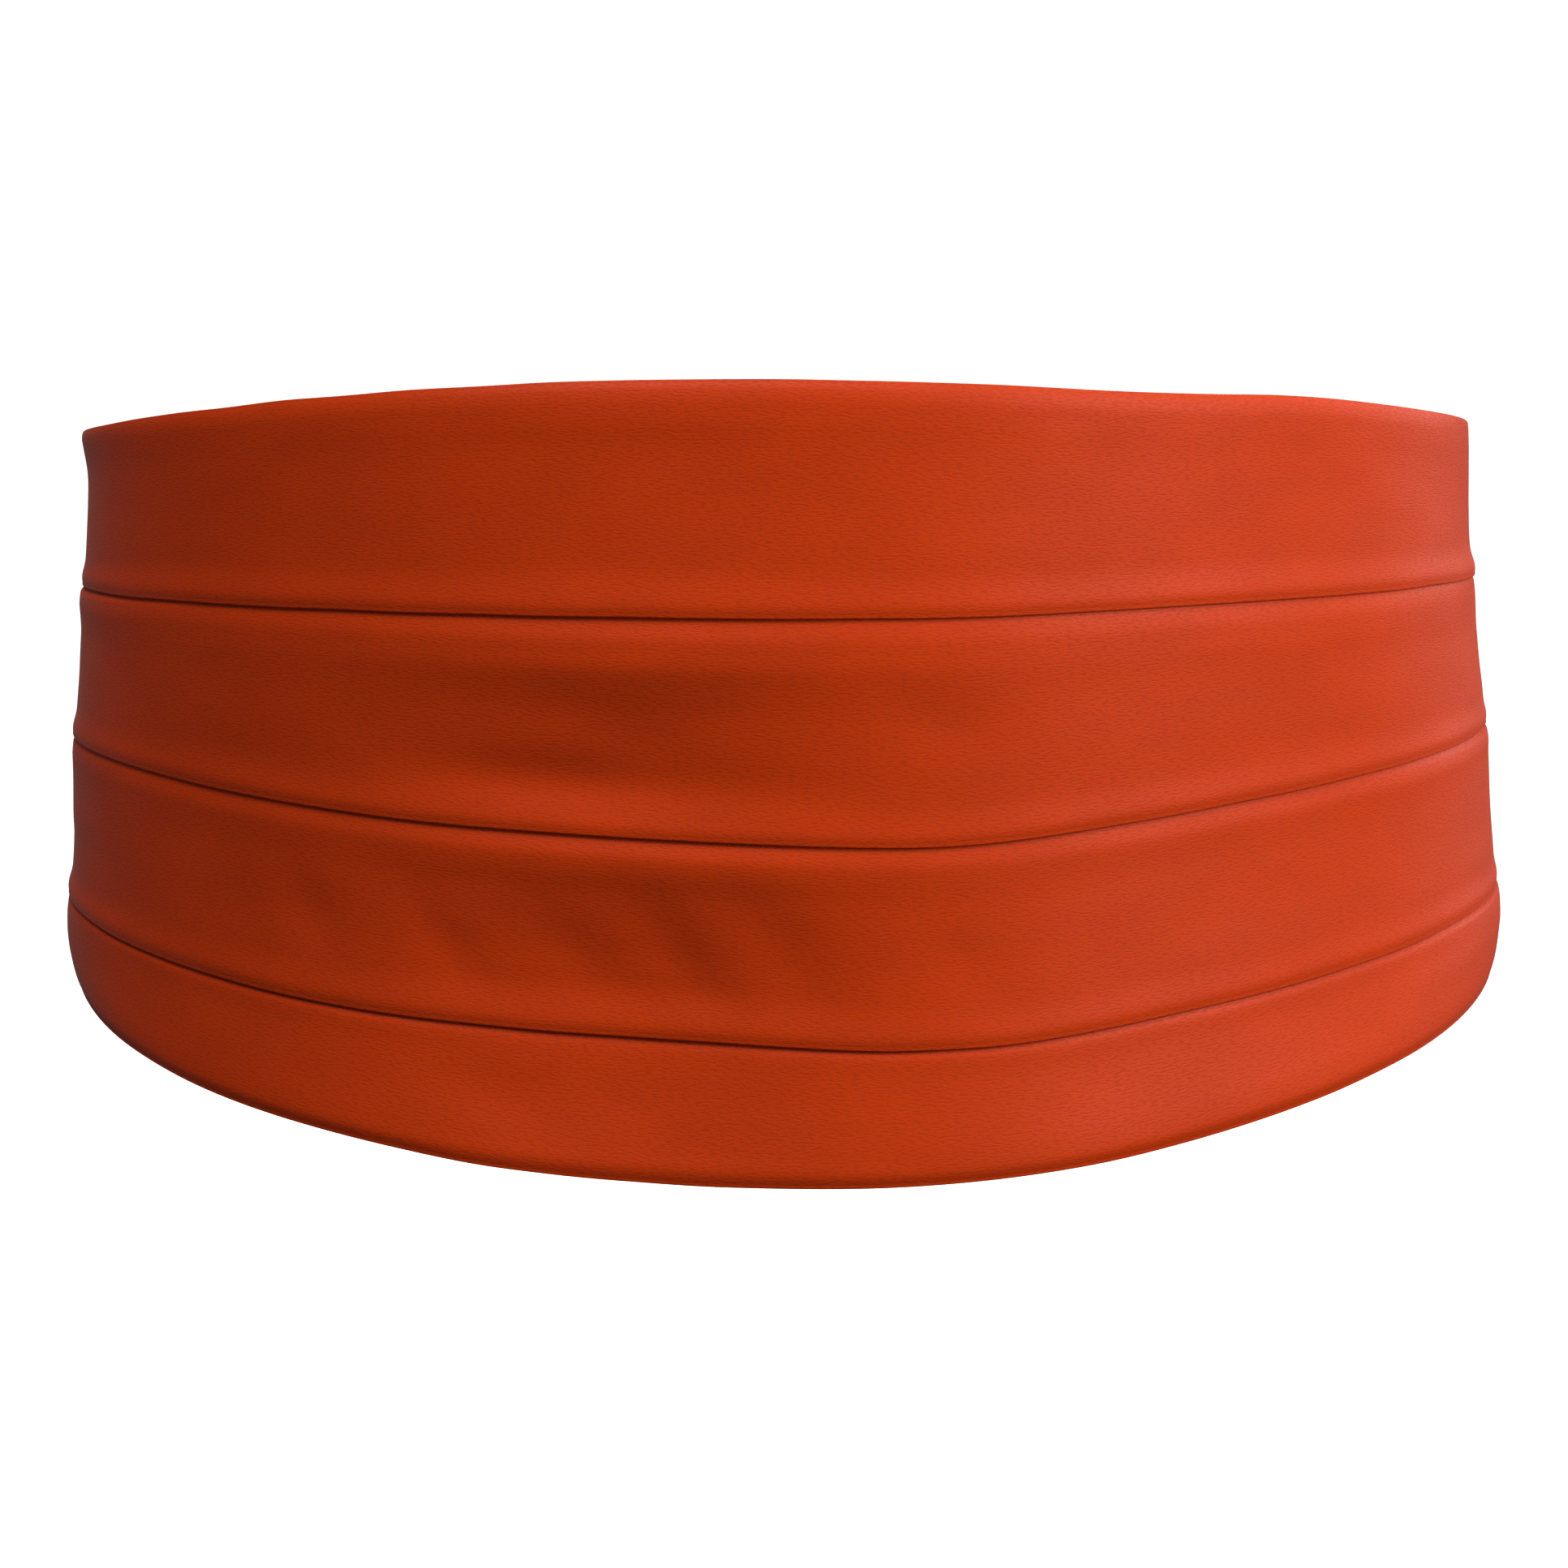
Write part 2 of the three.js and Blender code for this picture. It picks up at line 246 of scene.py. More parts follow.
def along_cloth(places, angle):
    """Value at angles, on a smooth curve through the front, quarter, side and end values."""
    front, quarter, side, end = places
    turn = np.abs(angle)
    second = (quarter - side - (front - side) * math.sqrt(0.5)) / (1 - math.sqrt(2))
    first = front - side - 2 * second
    ahead = side + second + first * np.cos(turn) + second * np.cos(2 * turn)
    past = np.maximum(turn - SIDE, 0)
    reach = CLOTH_END - SIDE
    behind = side - first * past + (end - side + first * reach) * (past / reach) ** 2
    return np.where(turn <= SIDE, ahead, behind)


def smooth_curve(knots, values, at):
    """Cubic curve through values at knots that never overshoots them.

    The first axis of values goes with the knots, and it may have others after that.
    """
    knots = np.asarray(knots, float)
    values = np.asarray(values, float)
    spare = (1,) * (values.ndim - 1)
    secant = np.diff(values, axis=0) / np.diff(knots).reshape((-1,) + spare)
    slope = np.empty_like(values)
    slope[0], slope[-1] = secant[0], secant[-1]
    before, after = secant[:-1], secant[1:]
    total = before + after
    total = np.where(np.abs(total) < 1e-12, 1, total)
    slope[1:-1] = np.where(before * after > 0, 2 * before * after / total, 0)
    index = np.clip(np.searchsorted(knots, at) - 1, 0, len(knots) - 2)
    width = np.diff(knots)[index]
    t = ((at - knots[index]) / width).reshape((-1,) + spare)
    width = width.reshape((-1,) + spare)
    return (
        (2 * t**3 - 3 * t**2 + 1) * values[index]
        + (t**3 - 2 * t**2 + t) * width * slope[index]
        + (3 * t**2 - 2 * t**3) * values[index + 1]
        + (t**3 - t**2) * width * slope[index + 1]
    )


def smooth_noise(length, pitch, seed):
    """Even noise from -1 to 1 along lengths, with a bump about every pitch."""
    knots = np.arange(length.min() - 2 * pitch, length.max() + 3 * pitch, pitch)
    values = np.random.default_rng(seed).uniform(-1, 1, len(knots))
    return smooth_curve(knots, values, length)


def smooth_noise_over(down, along, pitch, seed):
    """Even noise from -1 to 1 at each of down's points at each of along's."""
    rows = np.arange(down.min() - 2 * pitch[1], down.max() + 3 * pitch[1], pitch[1])
    columns = np.arange(along.min() - 2 * pitch[0], along.max() + 3 * pitch[0], pitch[0])
    values = np.random.default_rng(seed).uniform(-1, 1, (len(columns), len(rows)))
    across = smooth_curve(columns, values, along)
    return smooth_curve(rows, across.T, down)


def arc_length(angle):
    """Length along the waist from the front."""
    steps = np.diff(WAIST_ANGLES) * waist_speed(WAIST_ANGLES[1:])
    length = np.concatenate([[0], np.cumsum(steps)])
    return np.interp(angle, WAIST_ANGLES, length - np.interp(0, WAIST_ANGLES, length))


def angle_at(length):
    """Angle at a length along the waist from the front."""
    return np.interp(length, arc_length(WAIST_ANGLES), WAIST_ANGLES)


def make_object(name, points, faces, material, uv=None):
    """Smooth mesh object that rides on the body, with uv for each corner of its faces."""
    mesh = bpy.data.meshes.new(name)
    mesh.from_pydata([tuple(p) for p in points], [], faces)
    mesh.polygons.foreach_set("use_smooth", [True] * len(mesh.polygons))
    if uv is not None:
        layer = mesh.uv_layers.new(name="Cloth")
        layer.data.foreach_set("uv", np.asarray(uv, np.float32).ravel())
    mesh.materials.append(material)
    mesh.update()
    made = bpy.data.objects.new(name, mesh)
    bpy.context.scene.collection.objects.link(made)
    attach(made, BODY)
    return made


def loft(rings, along, around):
    """Points, faces and uv of closed rings joined in a row, with flat ends.

    along is a length for each ring, and around one for each of a ring's points.
    """
    stations, count = rings.shape[:2]
    points = rings.reshape(-1, 3)
    faces, uv = [], []
    for s in range(stations - 1):
        for i in range(count):
            j = (i + 1) % count
            a, b = s * count, (s + 1) * count
            faces.append((a + i, a + j, b + j, b + i))
            uv += [(along[s], around[i]), (along[s], around[j])]
            uv += [(along[s + 1], around[j]), (along[s + 1], around[i])]
    for s, flip in ((0, True), (stations - 1, False)):
        a = s * count
        for i in range(count // 2 - 1):
            quad = [a + i, a + i + 1, a + count - 2 - i, a + count - 1 - i]
            corner = [(along[s], around[i]), (along[s], around[i + 1])]
            corner += [(along[s] + THICKNESS, around[i + 1]), (along[s] + THICKNESS, around[i])]
            if flip:
                quad, corner = quad[::-1], corner[::-1]
            faces.append(tuple(quad))
            uv += corner
    return points, faces, uv


def cloth_levels(angle):
    """Levels of the top edge, the three folds and the bottom edge, slightly uneven."""
    length = arc_length(angle)
    height = along_cloth(CLOTH_HEIGHT, angle)
    top = height * along_cloth(ABOVE_ORIGIN, angle)
    sag = hump(angle, DIP["angle"], DIP["spread"])
    top_sag, bottom_sag = (
        dip["drop"] * hump(angle, dip["angle"], dip["spread"]) for dip in (TOP_DIP, BOTTOM_DIP)
    )
    lines = [top - top_sag]
    lines += [top - height * (along_cloth(f["places"], angle) + f["dip"] * sag) for f in FOLDS]
    lines.append(top - height - bottom_sag)
    return [
        line + WAVER * smooth_noise(length, WAVER_PITCH, seed) for seed, line in enumerate(lines)
    ]


def by_zone(angle, front, between, left, right):
    """Blends values for the front, between it and the sides, and the wearer's two sides."""
    near = hump(angle, FRONT_ZONE["angle"], FRONT_ZONE["spread"])
    reach = SIDE_ZONE["end"] - SIDE_ZONE["start"]
    far = smooth_step((np.degrees(np.abs(angle)) - SIDE_ZONE["start"]) / reach)
    side = far * np.where(angle > 0, left, right) + (1 - far) * between
    return near * front + (1 - near) * side


def relief(number, angle, share):
    """Offset of a panel's face from a flat cloth, at each share down it for each station."""
    table = PANEL_RELIEF[number]
    curves = {
        zone: smooth_curve(table["share"], table[zone], share)[:, None] * MM
        for zone in ("front", "between", "left", "right")
    }
    past = (np.degrees(np.abs(angle)) - END_FADE["start"]) / (END_FADE["end"] - END_FADE["start"])
    return (1 - smooth_step(past)) * by_zone(angle, **curves)


def panel_face(number, angle, high, low, edge=None):
    """Offsets and levels of one panel's face, from level high down to level low.

    edge is the offset that the face flares to at its lower end, if it does.
    """
    even = np.linspace(0, 1, PANEL_POINTS)
    share = even - CROWDING * np.sin(2 * math.pi * even)
    offset = relief(number, angle, share)
    level = high + (low - high) * share[:, None]
    length = arc_length(angle)
    free = np.sin(math.pi * share[:, None])
    for dent in DENTS:
        if dent["panel"] != number:
            continue
        slant = math.radians(dent["slant"])
        x = length - dent["place"] * MM
        z = high + (low - high) * dent["down"] - level
        along = (x * math.cos(slant) + z * math.sin(slant)) / (dent["half"][0] * MM)
        across = (z * math.cos(slant) - x * math.sin(slant)) / (dent["half"][1] * MM)
        offset = offset - free * dent["depth"] * MM * np.exp(-(along**2) - across**2)
    middle_drop = share * float(np.median(high - low))
    mottle = smooth_noise_over(middle_drop, length, MOTTLE_PITCH, MOTTLE_SEED + number)
    offset = offset + free * MOTTLE * mottle
    if edge is not None:
        depth = by_zone(angle, **FLARE_DEPTH)
        offset = offset + (edge - offset[-1]) * smooth_step(1 - (level - low) / depth)
    under = np.clip(1 - (level - low) / ROLL["depth"], 0, 1)
    return offset - ROLL["reach"] * under**2, level


def turn_arc(start, end, level, upward):
    """Offsets and levels of a round turn from one layer to another, its tip at a level."""
    middle = (start + end) / 2
    reach = (end - start) / 2
    swing = np.linspace(-SIDE, SIDE, TURN_POINTS)[:, None]
    offset = middle + reach * np.sin(swing)
    return offset, level + upward * np.abs(reach) * (np.cos(swing) - 1)


def cloth_section(angle):
    """Middle line of the folded cloth at each station, from the top hem to the bottom hem.

    Returns offsets and levels with the points first and the stations second.
    """
    top, *folds, bottom = cloth_levels(angle)
    hem_face = relief(0, angle, np.zeros(1))[0]
    behind = hem_face - LAYER_STEP
    hem_end = relief(0, angle, np.array([HEM_SHARE]))[0] - LAYER_STEP
    runs = [(hem_end[None, :], (top - HEM_DEPTH)[None, :])]
    runs.append(turn_arc(behind, hem_face, top, 1))
    high = top - (hem_face - behind) / 2
    for number, fold in enumerate(folds):
        inner = relief(number + 1, angle, np.zeros(1))[0]
        middle = inner + LAYER_STEP
        edge = middle + LAYER_STEP + by_zone(angle, **NOSE_RISE)
        offset, level = panel_face(number, angle, high, fold + NOSE_RADIUS, edge)
        runs.append((offset[1:], level[1:]))
        runs.append(turn_arc(offset[-1], middle, fold, -1))
        runs.append(turn_arc(middle, inner, fold + FOLD_DEPTH, 1))
        high = fold - START_DROP
    offset, level = panel_face(3, angle, high, bottom + NOSE_RADIUS)
    behind = offset[-1] - LAYER_STEP
    hem_end = relief(3, angle, np.array([1 - HEM_SHARE]))[0] - LAYER_STEP
    runs.append((offset, level))
    runs.append(turn_arc(offset[-1], behind, bottom, -1))
    runs.append((hem_end[None, :], (bottom + HEM_DEPTH)[None, :]))
    return np.concatenate([r[0] for r in runs]), np.concatenate([r[1] for r in runs])


def flare_at(angle):
    """Outward lean of the cloth for each metre downward, gone where the straps begin."""
    start = math.radians(FLARE_FADE_ANGLE)
    return HIP_FLARE * (1 - smooth_step((np.abs(angle) - start) / (STRAP_START - start)))


def cloth_offset(angle, level):
    """Offset of the middle of a flat panel's cloth from the waist."""
    ridge = RIDGE["rise"] * hump(angle, RIDGE["angle"], RIDGE["spread"])
    return FACE_OFFSET - THICKNESS / 2 + ridge - flare_at(angle) * level


def pleated_cloth(material):
    """The folded front: one closed thin wall, both faces and all its turns."""
    end = arc_length(CLOTH_END)
    across = np.linspace(-end, end, STATIONS)
    angle = angle_at(across)
    offset, level = cloth_section(angle)
    along_offset, along_level = np.gradient(offset, axis=0), np.gradient(level, axis=0)
    size = np.hypot(along_offset, along_level)
    out_offset, out_level = -along_level / size, along_offset / size
    walls = []
    for half in (THICKNESS / 2, -THICKNESS / 2):
        height = level + half * out_level
        away = cloth_offset(angle, height) + offset + half * out_offset
        walls.append(around_waist(angle, away, height))
    rings = np.concatenate([walls[0], walls[1][::-1]]).transpose(1, 0, 2)
    drop = np.median(np.hypot(np.diff(offset, axis=0), np.diff(level, axis=0)), axis=1)
    down = np.concatenate([[0], np.cumsum(drop)])
    points, faces, uv = loft(rings, across, np.concatenate([down, down[::-1]]))
    made = make_object("pleated_satin", points, faces, material, uv)
    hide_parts("pleated_front")
    return made


def outer_face(angle, levels):
    """Offset of the cloth's outermost face at levels, at one angle."""
    offset, level = (run[:, 0] for run in cloth_section(np.array([angle])))
    low, high = np.minimum(level[1:], level[:-1]), np.maximum(level[1:], level[:-1])
    found = []
    for z in levels:
        hit = np.flatnonzero((low <= z) & (z <= high) & (high > low))
        share = (z - level[hit]) / (level[hit + 1] - level[hit])
        found.append(np.max(offset[hit] + share * (offset[hit + 1] - offset[hit])))
    return cloth_offset(angle, levels) + np.array(found) + THICKNESS / 2


def strap_path():
    """Plan of the wearer's left strap: along the waist, through the clasp and back on itself."""
    half = STRAP_THICKNESS / 2
    bar_outer = CLASP_WIDTH / 2
    slot = bar_outer - CLASP_BAR - CLASP_CLEARANCE - half
    plate = clasp_level(slot)
    over = plate + CLASP_THICKNESS + CLASP_CLEARANCE + half
    main_end = back_angle(slot + half)
    run = arc_length(np.array([STRAP_START, main_end]))
    steps = np.linspace(run[0], run[1], int((run[1] - run[0]) / STRAP_PITCH))
    path = [tuple(p[:2]) for p in around_waist(angle_at(steps), half, 0)]
    path += [(slot, path[-1][1]), (slot, over), (bar_outer + CLASP_CLEARANCE, over)]
    start = arc_length(back_angle(bar_outer + 2 * STRAP_THICKNESS))
    steps = np.linspace(start, start - STRAP_RETURN, RETURN_POINTS)
    settle = np.linspace(0, 1, RETURN_POINTS) * CLASP_CLEARANCE
    returned = STRAP_THICKNESS + CLASP_CLEARANCE + half - settle
    path += [tuple(p[:2]) for p in around_waist(angle_at(steps), returned, 0)]
    return rounded(np.array(path), STRAP_BEND)


def rounded(path, radius):
    """Plan path with its corners turned into arcs."""
    made = [path[0]]
    for before, corner, after in zip(path, path[1:], path[2:]):
        into, out = corner - before, after - corner
        into_size, out_size = np.hypot(*into), np.hypot(*out)
        into, out = into / into_size, out / out_size
        turn = math.acos(np.clip(into @ out, -1, 1))
        if turn < STRAIGHT_TURN:
            made.append(corner)
            continue
        reach = min(radius * math.tan(turn / 2), into_size / 2, out_size / 2)
        start, end = corner - into * reach, corner + out * reach
        for t in np.linspace(0, 1, BEND_POINTS):
            made.append((1 - t) ** 2 * start + 2 * t * (1 - t) * corner + t**2 * end)
    made.append(path[-1])
    return np.array(made)


def clasp_level(slot):
    """Y of the clasp's inner face."""
    point = around_waist(back_angle(slot), STRAP_THICKNESS + CLASP_CLEARANCE, 0)
    return float(point[1])


def strap(name, node, side, material):
    """One elastic strap with rounded edges."""
    path = strap_path() * np.array([side, 1])
    along = np.concatenate([[0], np.cumsum(np.hypot(*np.diff(path, axis=0).T))])
    heading = np.gradient(path, axis=0)
    heading /= np.hypot(*heading.T)[:, None]
    normal = np.stack([heading[:, 1], -heading[:, 0]], -1)
    half = STRAP_THICKNESS / 2
    face = STRAP_WIDTH / 2 - STRAP_EDGE
    swing = np.linspace(0, SIDE * 2, EDGE_POINTS)
    across = [(z, half) for z in np.linspace(-face, face, FACE_POINTS)]
    across += [(face + STRAP_EDGE * math.sin(s), half * math.cos(s)) for s in swing[1:-1]]
    across += [(z, -half) for z in np.linspace(face, -face, FACE_POINTS)]
    across += [(-face - STRAP_EDGE * math.sin(s), -half * math.cos(s)) for s in swing[1:-1]]
    across = np.array(across)[:: 1 if side > 0 else -1]
    rings = np.zeros((len(path), len(across), 3))
    rings[:, :, :2] = path[:, None] + normal[:, None] * across[None, :, 1:]
    rings[:, :, 2] = STRAP_LEVEL + across[:, 0]
    points, faces, uv = strap_loft(rings, along, across[:, 0])
    made = make_object(name, points, faces, material, uv)
    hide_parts(node)
    return made


def strap_loft(rings, along, across):
    """Points, faces and uv of a strap, closed by one face at each end."""
    stations, count = rings.shape[:2]
    faces, uv = [], []
    for s in range(stations - 1):
        for i in range(count):
            j = (i + 1) % count
            a, b = s * count, (s + 1) * count
            faces.append((a + i, b + i, b + j, a + j))
            uv += [(along[s], across[i]), (along[s + 1], across[i])]
            uv += [(along[s + 1], across[j]), (along[s], across[j])]
    last = (stations - 1) * count
    for face, at in ((range(count), along[0]), (range(last + count - 1, last - 1, -1), along[-1])):
        faces.append(tuple(face))
        uv += [(at, across[i % count]) for i in face]
    return rings.reshape(-1, 3), faces, uv


def stitches(name, rows, material):
    """Rows of stitches, each row a list of points with the way out from the face at each."""
    points, faces = [], []
    ring, bends = STITCH_SIDES, STITCH_BENDS
    for places, outs in rows:
        places, outs = np.array(places), np.array(outs)
        run = np.concatenate([[0], np.cumsum(np.linalg.norm(np.diff(places, axis=0), axis=1))])
        start = STITCH_GAP
        while start + STITCH_LENGTH < run[-1]:
            at = np.linspace(start, start + STITCH_LENGTH, bends)
            line = np.stack([np.interp(at, run, places[:, k]) for k in range(3)], -1)
            out = np.stack([np.interp(at, run, outs[:, k]) for k in range(3)], -1)
            lift = np.sin(np.linspace(0, math.pi, bends))[:, None]
            thin = STITCH_TIP + (1 - STITCH_TIP) * lift
            line = line + out * (THREAD_RADIUS * lift - STITCH_SUNK)
            heading = np.gradient(line, axis=0)
            heading /= np.linalg.norm(heading, axis=1)[:, None]
            across = np.cross(heading, out)
            base = len(points)
            for k in range(bends):
                for i in range(ring):
                    swing = 2 * math.pi * i / ring
                    way = across[k] * math.cos(swing) + out[k] * math.sin(swing)
                    points.append(line[k] + way * THREAD_RADIUS * thin[k])
            for k in range(bends - 1):
                for i in range(ring):
                    a, b = base + k * ring + i, base + k * ring + (i + 1) % ring
                    faces.append((a, b, b + ring, a + ring))
            faces.append(tuple(base + i for i in reversed(range(ring))))
            faces.append(tuple(base + (bends - 1) * ring + i for i in range(ring)))
            start += STITCH_LENGTH + STITCH_GAP
    return make_object(name, points, faces, material)


def seam_rows(side):
    """Rows of stitches down the cloth near one end, through all its layers."""
    rows = []
    for inset in SEAM_PLACES:
        angle = float(side * angle_at(arc_length(CLOTH_END) - inset))
        top, *_, bottom = (line[0] for line in cloth_levels(np.array([angle])))
        levels = np.arange(top - SEAM_MARGIN, bottom + SEAM_MARGIN, -SEAM_PITCH)
        places = around_waist(angle, outer_face(angle, levels), levels)
        out = around_waist(angle, 1, 0) - around_waist(angle, 0, 0)
        rows.append((places, np.tile(out, (len(places), 1))))
    return rows


def strap_rows(side):
    """Rows of stitches across one strap: inside its tucked end and outside its doubled end."""
    levels = np.linspace(-1, 1, ROW_POINTS) * (STRAP_WIDTH / 2 - ROW_MARGIN) + STRAP_LEVEL
    start = arc_length(STRAP_START)
    doubled = arc_length(back_angle(CLASP_WIDTH / 2 + 2 * STRAP_THICKNESS)) - STRAP_RETURN
    rows = []
    for inset in STRAP_ROWS:
        for run, offset, way in (
            (start + inset, 0, -1),
            (doubled + inset * DOUBLED_SHARE, 2 * STRAP_THICKNESS + CLASP_CLEARANCE / 2, 1),
        ):
            angle = float(side * angle_at(run))
            places = around_waist(angle, offset, levels)
            out = way * (around_waist(angle, 1, 0) - around_waist(angle, 0, 0))
            rows.append((places, np.tile(out, (len(places), 1))))
    return rows


def rounded_rectangle(spline_owner, x, width, height, radius):
    """Closed outline with quarter-round corners, added to a curve."""
    corners = []
    for corner in range(4):
        middle = SIDE * (corner + 0.5)
        centre = Vector((
            x + math.copysign(width / 2 - radius, math.cos(middle)),
            math.copysign(height / 2 - radius, math.sin(middle)),
        ))
        for step in range(CORNER_STEPS + 1):
            swing = SIDE * (corner + step / CORNER_STEPS)
            corners.append(centre + Vector((math.cos(swing), math.sin(swing))) * radius)
    spline = spline_owner.splines.new("POLY")
    spline.points.add(len(corners) - 1)
    for point, corner in zip(spline.points, corners):
        point.co = (corner.x, corner.y, 0, 1)
    spline.use_cyclic_u = True


def clasp(material):
    """Flat plate with two slots and softened edges."""
    outline = bpy.data.curves.new("clasp_outline", "CURVE")
    outline.dimensions = "2D"
    outline.fill_mode = "BOTH"
    outline.extrude = CLASP_THICKNESS / 2 - CLASP_BEVEL
    outline.bevel_depth = CLASP_BEVEL
    outline.bevel_resolution = 3
    outline.offset = -CLASP_BEVEL
    slot_height = STRAP_WIDTH + 2 * SLOT_MARGIN
    rounded_rectangle(outline, 0, CLASP_WIDTH, slot_height + 2 * CLASP_BAR, CLASP_CORNER)
    slot_middle = CLASP_WIDTH / 2 - CLASP_BAR - CLASP_SLOT / 2
    for side in (-1, 1):
        rounded_rectangle(outline, side * slot_middle, CLASP_SLOT, slot_height, SLOT_MARGIN)
    drawn = bpy.data.objects.new("clasp_outline", outline)
    bpy.context.scene.collection.objects.link(drawn)
    bpy.context.view_layer.update()
    mesh = bpy.data.meshes.new_from_object(drawn.evaluated_get(bpy.context.evaluated_depsgraph_get()))
    bpy.data.objects.remove(drawn)
    half = STRAP_THICKNESS / 2
    inner = clasp_level(CLASP_WIDTH / 2 - CLASP_BAR - CLASP_CLEARANCE - half)
    stand = Matrix.Rotation(SIDE, 4, "X")
    place = Matrix.Translation((0, inner + CLASP_THICKNESS / 2, STRAP_LEVEL))
    mesh.transform(place @ stand)
    mesh.materials.clear()
    mesh.materials.append(material)
    mesh.name = "clasp_plate"
    mesh.shade_smooth()
    made = bpy.data.objects.new("clasp_plate", mesh)
    bpy.context.scene.collection.objects.link(made)
    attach(made, BODY)
    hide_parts("clasp")
    return made


def new_material(name):
    """New material, its node tree and its shader."""
    material = bpy.data.materials.new(name)
    material.use_nodes = True
    tree = material.node_tree
    return material, tree, tree.nodes["Principled BSDF"]


def add_noise(tree, source, pitch, detail):
    """Noise with a bump about every pitch, a length in each direction; gives its output."""
    stretch = tree.nodes.new("ShaderNodeMapping")
    stretch.inputs["Scale"].default_value = tuple(1 / p for p in pitch)
    tree.links.new(source, stretch.inputs["Vector"])
    noise = tree.nodes.new("ShaderNodeTexNoise")
    noise.inputs["Scale"].default_value = 1
    noise.inputs["Detail"].default_value = detail
    noise.inputs["Roughness"].default_value = 0.5
    tree.links.new(stretch.outputs["Vector"], noise.inputs["Vector"])
    return noise.outputs["Fac"]


def add_sum(tree, first, first_share, second, second_share):
    """Weighted sum of two values; gives its output."""
    scaled = tree.nodes.new("ShaderNodeMath")
    scaled.operation = "MULTIPLY"
    scaled.inputs[1].default_value = second_share
    tree.links.new(second, scaled.inputs[0])
    total = tree.nodes.new("ShaderNodeMath")
    total.operation = "MULTIPLY_ADD"
    total.inputs[1].default_value = first_share
    tree.links.new(first, total.inputs[0])
    tree.links.new(scaled.outputs["Value"], total.inputs[2])
    return total.outputs["Value"]


def add_ramp(tree, value, stops):
    """Colours along a value from 0 to 1; gives the output."""
    ramp = tree.nodes.new("ShaderNodeValToRGB")
    for element, (position, colour) in zip(ramp.color_ramp.elements, stops):
        element.position = position
        element.color = (*colour, 1)
    tree.links.new(value, ramp.inputs["Fac"])
    return ramp.outputs["Color"]


def add_bump(tree, shader, height, strength, distance):
    """Bump from a height onto a shader."""
    bump = tree.nodes.new("ShaderNodeBump")
    bump.inputs["Strength"].default_value = strength
    bump.inputs["Distance"].default_value = distance
    tree.links.new(height, bump.inputs["Height"])
    tree.links.new(bump.outputs["Normal"], shader.inputs["Normal"])


def satin_material():
    """Burnt-orange crepe satin: short fine pits along the weft over soft blotches, its colour
    darkened in the pits as painted shade.
    """
    material, tree, shader = new_material("burnt_orange_satin")
    shader.inputs["Sheen Weight"].default_value = 0.05
    shader.inputs["Sheen Roughness"].default_value = 0.35
    shader.inputs["Specular IOR Level"].default_value = 0.13
    place = tree.nodes.new("ShaderNodeUVMap")
    place.uv_map = "Cloth"
    uv = place.outputs["UV"]
    slub = add_noise(tree, uv, (1.3 * MM, 0.28 * MM, 1), 1)
    pits = add_ramp(tree, slub, ((0.46, (1.0,) * 3), (0.64, (0.0,) * 3)))
    blotch = add_noise(tree, uv, (22 * MM, 10 * MM, 1), 4)
    # The pit mask also darkens the colour in the pits as painted shade, mixed with the blotches'
    # random tone.
    pit_shade_and_blotch = add_sum(tree, pits, 0.35, blotch, 0.65)
    colour = add_ramp(tree, pit_shade_and_blotch, ((0.3, (0.40, 0.028, 0.0004)), (0.8, (0.48, 0.034, 0.0006))))
    tree.links.new(colour, shader.inputs["Base Color"])
    rough = add_ramp(tree, pit_shade_and_blotch, ((0.3, (0.56,) * 3), (0.8, (0.46,) * 3)))
    tree.links.new(rough, shader.inputs["Roughness"])
    add_bump(tree, shader, pits, 0.9, 0.022 * MM)
    return material


def thread_material():
    """Sewing thread, a little darker than the satin."""
    material, tree, shader = new_material("sewing_thread")
    shader.inputs["Roughness"].default_value = 0.55
    place = tree.nodes.new("ShaderNodeTexCoord")
    twist = add_noise(tree, place.outputs["Object"], (0.3 * MM, 0.3 * MM, 0.3 * MM), 2)
    colour = add_ramp(tree, twist, ((0.3, (0.26, 0.022, 0.0016)), (0.7, (0.42, 0.036, 0.0028))))
    tree.links.new(colour, shader.inputs["Base Color"])
    return material


def elastic_material():
    """Woven elastic with ribs along its length and a fine cross weave, its colour darker in the
    grooves between ribs as painted shade.
    """
    material, tree, shader = new_material("ribbed_elastic")
    shader.inputs["Roughness"].default_value = 0.85
    shader.inputs["Specular IOR Level"].default_value = 0.25
    place = tree.nodes.new("ShaderNodeUVMap")
    place.uv_map = "Cloth"
    uv = place.outputs["UV"]
    ribs = tree.nodes.new("ShaderNodeTexWave")
    ribs.bands_direction = "Y"
    ribs.inputs["Scale"].default_value = 2 * math.pi / (20 * 1.3 * MM)
    ribs.inputs["Distortion"].default_value = 0
    tree.links.new(uv, ribs.inputs["Vector"])
    weave = add_noise(tree, uv, (0.5 * MM, 0.35 * MM, 1), 2)
    height = add_sum(tree, ribs.outputs["Fac"], 0.75, weave, 0.25)
    # The colour follows the rib height: darker in the grooves between ribs as painted shade, lighter
    # on their crests.
    colour = add_ramp(tree, height, ((0.15, (0.16, 0.013, 0.0012)), (0.85, (0.34, 0.03, 0.003))))
    tree.links.new(colour, shader.inputs["Base Color"])
    add_bump(tree, shader, height, 0.8, 0.2 * MM)
    return material


